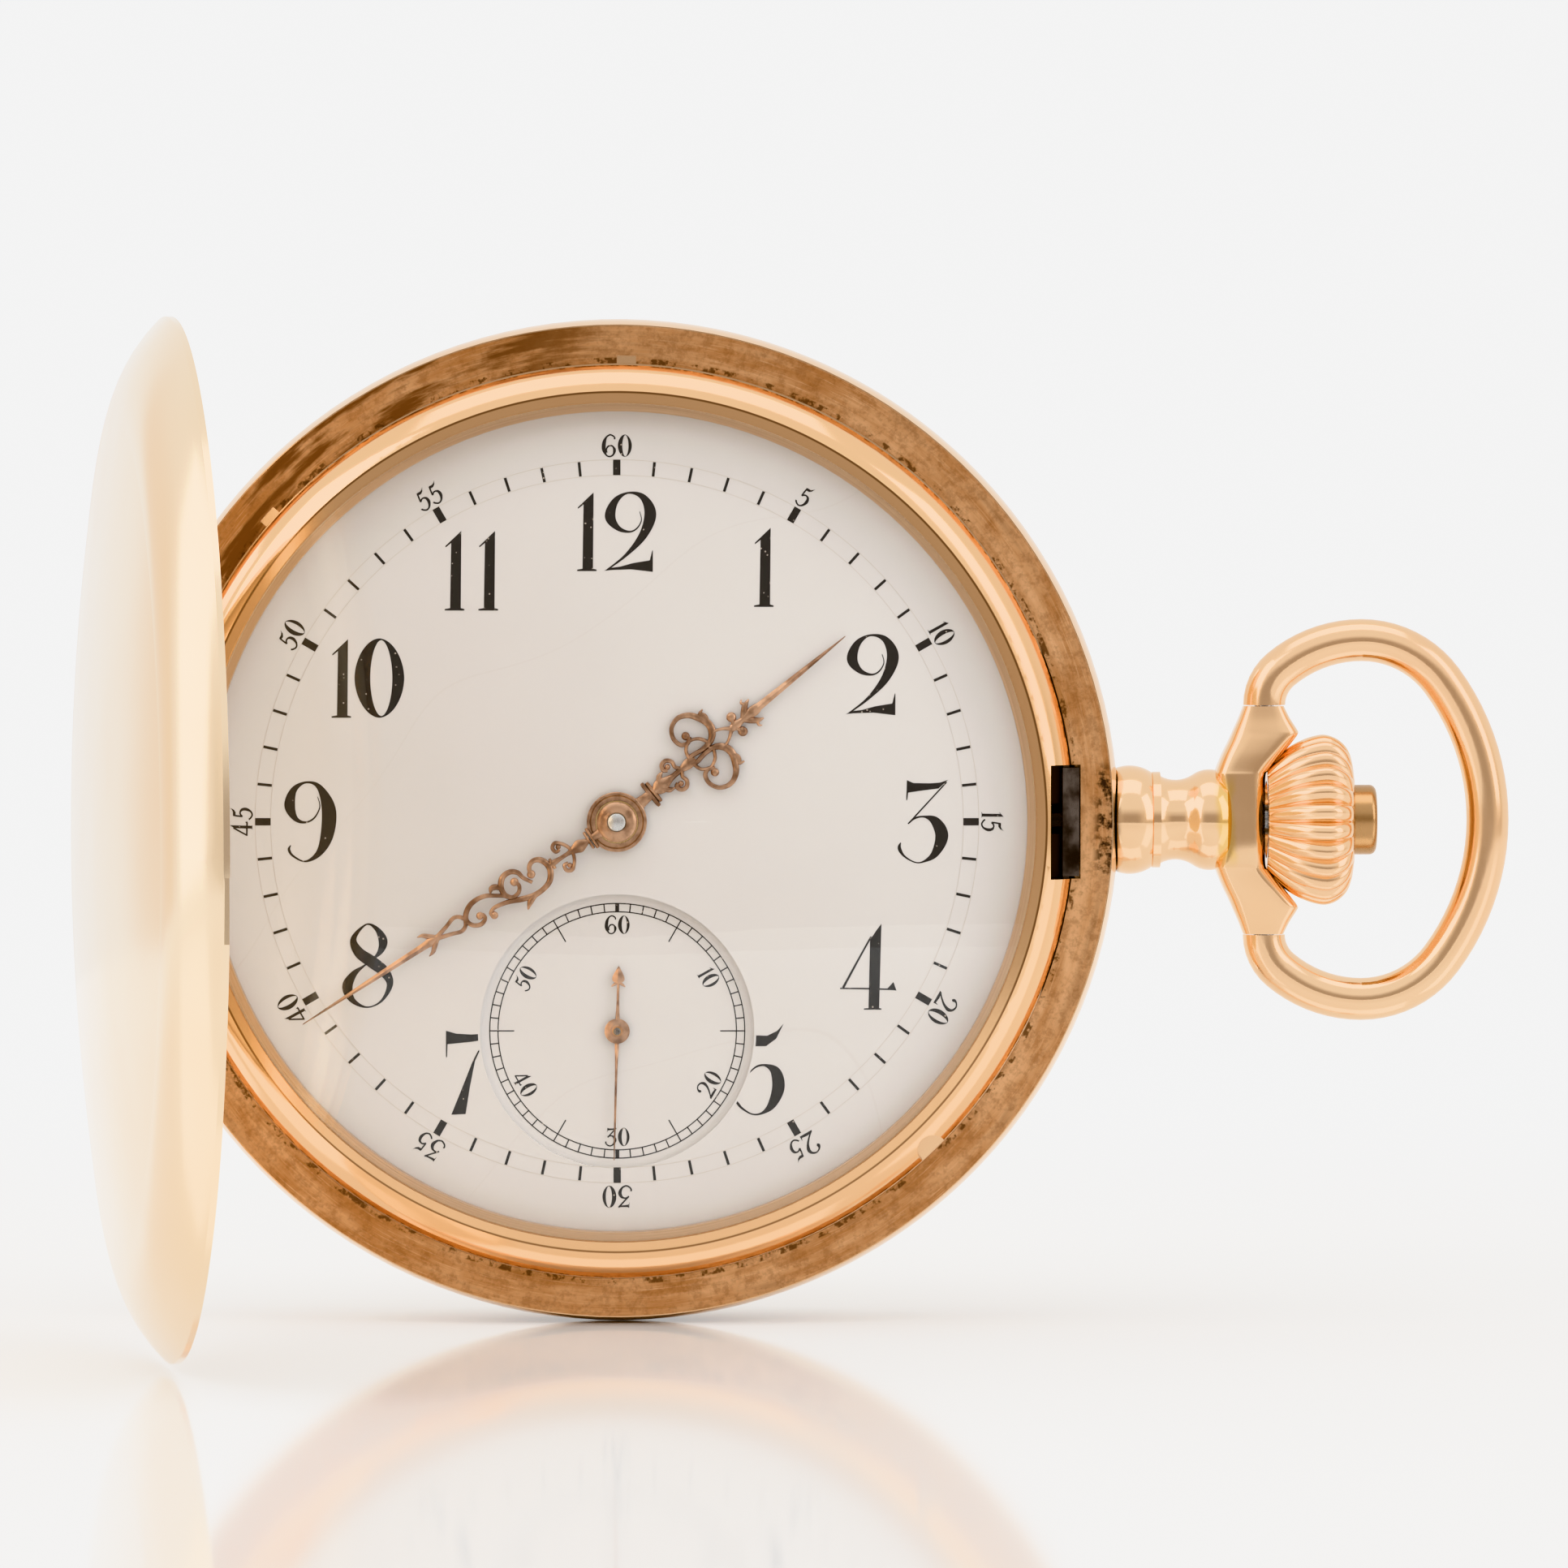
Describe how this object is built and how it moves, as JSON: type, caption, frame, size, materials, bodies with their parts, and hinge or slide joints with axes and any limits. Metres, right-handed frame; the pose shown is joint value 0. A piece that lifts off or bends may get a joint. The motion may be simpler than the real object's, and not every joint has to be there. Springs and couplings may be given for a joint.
{
  "type": "hunter pocket watch",
  "caption": "Hunter pocket watch with sprung front cover, hinged back and dust cover, crown with release button, swinging bow and full geared movement.",
  "frame": {"origin": "on the dial's axis, at the flat middle of the back cover's outer face", "axes": "+X towards the crown at three o'clock, -Y out of the dial, +Z towards twelve o'clock"},
  "size_m": [0.074, 0.0605, 0.052],
  "materials": {
    "case_gold": "worn polished rose-yellow gold",
    "cover_gold": "bright polished gold",
    "bezel_gold": "polished gold",
    "bow_gold": "polished rose gold",
    "spring_steel": "blackened spring steel",
    "steel": "fine ground steel",
    "blued_steel": "heat-blued steel",
    "enamel": "glossy fired enamel on copper",
    "crystal_glass": "clear polished glass",
    "hand_gold": "polished rose gold",
    "plate_gilt": "gilt brass with fine stripes",
    "wheel_brass": "gilt brass",
    "ruby": "polished synthetic ruby"
  },
  "bodies": {
    "case": {"case_middle": "case_gold", "pendant_neck": "bow_gold", "bow_yoke": "bow_gold", "bow_pivot_pins": "steel", "front_hinge_pin": "case_gold", "back_hinge_pin": "case_gold", "lift_spring": "spring_steel", "bezel": "bezel_gold", "crystal": "crystal_glass", "main_plate": "plate_gilt", "barrel_bridge": "plate_gilt", "train_bridge": "plate_gilt", "pallet_bridge": "plate_gilt", "balance_cock": "plate_gilt", "bearing_jewels": "ruby", "bridge_screws": "blued_steel", "case_screws": "blued_steel", "dial_feet": "wheel_brass", "dial": "enamel", "seconds_dial": "enamel", "crown_wheel_screw": "blued_steel", "click_spring": "steel", "regulator": "steel"},
    "front_cover": {"front_cover": "cover_gold"},
    "back_cover": {"back_cover": "case_gold"},
    "cuvette": {"cuvette": "cover_gold"},
    "bow": {"bow": "bow_gold"},
    "lock_spring": {"lock_spring": "spring_steel"},
    "winding_pinion": {"winding_pinion": "steel"},
    "sliding_clutch": {"sliding_clutch": "steel"},
    "stem": {"winding_stem": "steel", "crown": "bow_gold"},
    "button": {"crown_button": "bow_gold", "release_rod": "steel", "release_collar": "steel", "button_spring": "steel"},
    "crown_wheel": {"crown_wheel": "steel"},
    "ratchet": {"ratchet_wheel": "steel", "ratchet_screw": "blued_steel", "barrel_arbor": "steel"},
    "barrel": {"mainspring_barrel": "wheel_brass", "mainspring": "blued_steel"},
    "center": {"center_wheel": "wheel_brass", "cannon_pinion": "steel", "minute_hand": "hand_gold"},
    "third": {"third_wheel": "wheel_brass"},
    "fourth": {"fourth_wheel": "wheel_brass", "seconds_hand": "hand_gold"},
    "escape": {"escape_wheel": "steel"},
    "pallet": {"pallet_fork": "steel", "pallet_jewels": "ruby"},
    "balance": {"balance_wheel": "wheel_brass", "balance_staff": "steel", "balance_screws": "wheel_brass", "hairspring": "blued_steel"},
    "minute_wheel": {"minute_wheel": "wheel_brass"},
    "hour": {"hour_wheel": "wheel_brass", "hour_hand": "hand_gold"},
    "click": {"click": "steel"}
  },
  "joints": [
    {"name": "front_cover_hinge", "type": "hinge", "parent": "case", "child": "front_cover", "pos_m": [-0.02555, -0.01005, 0], "axis": [0, 0, 1], "range_deg": [0, 80], "stiffness_Nm_per_rad": 0.002, "springref_deg": -22.92},
    {"name": "back_cover_hinge", "type": "hinge", "parent": "case", "child": "back_cover", "pos_m": [-0.02495, -0.0045, 0], "axis": [0, 0, 1], "range_deg": [0, 100]},
    {"name": "cuvette_hinge", "type": "hinge", "parent": "case", "child": "cuvette", "pos_m": [-0.02495, -0.0045, 0], "axis": [0, 0, 1], "range_deg": [0, 60]},
    {"name": "bow_swing", "type": "hinge", "parent": "case", "child": "bow", "pos_m": [0.03363, -0.0073, 0], "axis": [0, 0, 1], "range_deg": [-120, 120]},
    {"name": "crown_turn", "type": "hinge", "parent": "case", "child": "winding_pinion", "pos_m": [0.0162, -0.0073, 0], "axis": [1, 0, 0], "continuous": true},
    {"name": "crown_pull", "type": "slide", "parent": "winding_pinion", "child": "stem", "axis": [1, 0, 0], "range_m": [0, 0.001]},
    {"name": "clutch_slide", "type": "slide", "parent": "winding_pinion", "child": "sliding_clutch", "axis": [1, 0, 0], "range_m": [-0.0007, 0]},
    {"name": "button_press", "type": "slide", "parent": "stem", "child": "button", "axis": [-1, 0, 0], "range_m": [0, 0.0006], "stiffness_N_per_m": 300, "springref_m": -0.0008, "deforming": ["button_spring"]},
    {"name": "lock_spring_slide", "type": "slide", "parent": "case", "child": "lock_spring", "axis": [-1, 0, 0], "range_m": [0, 0.0006]},
    {"name": "crown_wheel_turn", "type": "hinge", "parent": "case", "child": "crown_wheel", "pos_m": [0.0122, -0.004, 0], "axis": [0, -1, 0], "continuous": true},
    {"name": "ratchet_turn", "type": "hinge", "parent": "case", "child": "ratchet", "pos_m": [0.00483, -0.004, 0.00773], "axis": [0, -1, 0], "continuous": true},
    {"name": "minute_hand_turn", "type": "hinge", "parent": "case", "child": "center", "pos_m": [0, -0.006, 0], "axis": [0, -1, 0], "continuous": true},
    {"name": "barrel_turn", "type": "hinge", "parent": "case", "child": "barrel", "pos_m": [0.00483, -0.007, 0.00773], "axis": [0, -1, 0], "continuous": true},
    {"name": "third_wheel_turn", "type": "hinge", "parent": "case", "child": "third", "pos_m": [0.0035, -0.006, -0.00604], "axis": [0, -1, 0], "continuous": true},
    {"name": "seconds_hand_turn", "type": "hinge", "parent": "case", "child": "fourth", "pos_m": [0, -0.006, -0.01085], "axis": [0, -1, 0], "continuous": true},
    {"name": "escape_wheel_turn", "type": "hinge", "parent": "case", "child": "escape", "pos_m": [-0.00468, -0.007, -0.0096], "axis": [0, -1, 0], "continuous": true},
    {"name": "minute_wheel_turn", "type": "hinge", "parent": "case", "child": "minute_wheel", "pos_m": [0.00338, -0.0086, -0.00123], "axis": [0, -1, 0], "continuous": true},
    {"name": "hour_hand_turn", "type": "hinge", "parent": "case", "child": "hour", "pos_m": [0, -0.009, 0], "axis": [0, -1, 0], "continuous": true},
    {"name": "pallet_fork_turn", "type": "hinge", "parent": "case", "child": "pallet", "pos_m": [-0.00727, -0.007, -0.00787], "axis": [0, -1, 0], "range_deg": [-5, 5]},
    {"name": "balance_turn", "type": "hinge", "parent": "case", "child": "balance", "pos_m": [-0.01127, -0.006, -0.0052], "axis": [0, -1, 0], "range_deg": [-270, 270], "stiffness_Nm_per_rad": 0.00000025, "deforming": ["hairspring"]},
    {"name": "click_turn", "type": "hinge", "parent": "case", "child": "click", "pos_m": [0.00114, -0.004, 0.01414], "axis": [0, -1, 0], "range_deg": [-12, 0], "stiffness_Nm_per_rad": 0.000001, "springref_deg": 17.19}
  ],
  "couplings": [
    {"joint": "cuvette_hinge", "follows": "back_cover_hinge", "ratio": 0.6},
    {"joint": "clutch_slide", "follows": "crown_pull", "ratio": -0.7},
    {"joint": "lock_spring_slide", "follows": "button_press", "ratio": 1},
    {"joint": "crown_wheel_turn", "follows": "crown_turn", "ratio": 0.375},
    {"joint": "ratchet_turn", "follows": "crown_turn", "ratio": -0.38333},
    {"joint": "barrel_turn", "follows": "minute_hand_turn", "ratio": -0.14286},
    {"joint": "third_wheel_turn", "follows": "minute_hand_turn", "ratio": -8},
    {"joint": "seconds_hand_turn", "follows": "minute_hand_turn", "ratio": 60},
    {"joint": "escape_wheel_turn", "follows": "minute_hand_turn", "ratio": -600},
    {"joint": "minute_wheel_turn", "follows": "minute_hand_turn", "ratio": -0.33333},
    {"joint": "hour_hand_turn", "follows": "minute_hand_turn", "ratio": 0.083333}
  ]
}
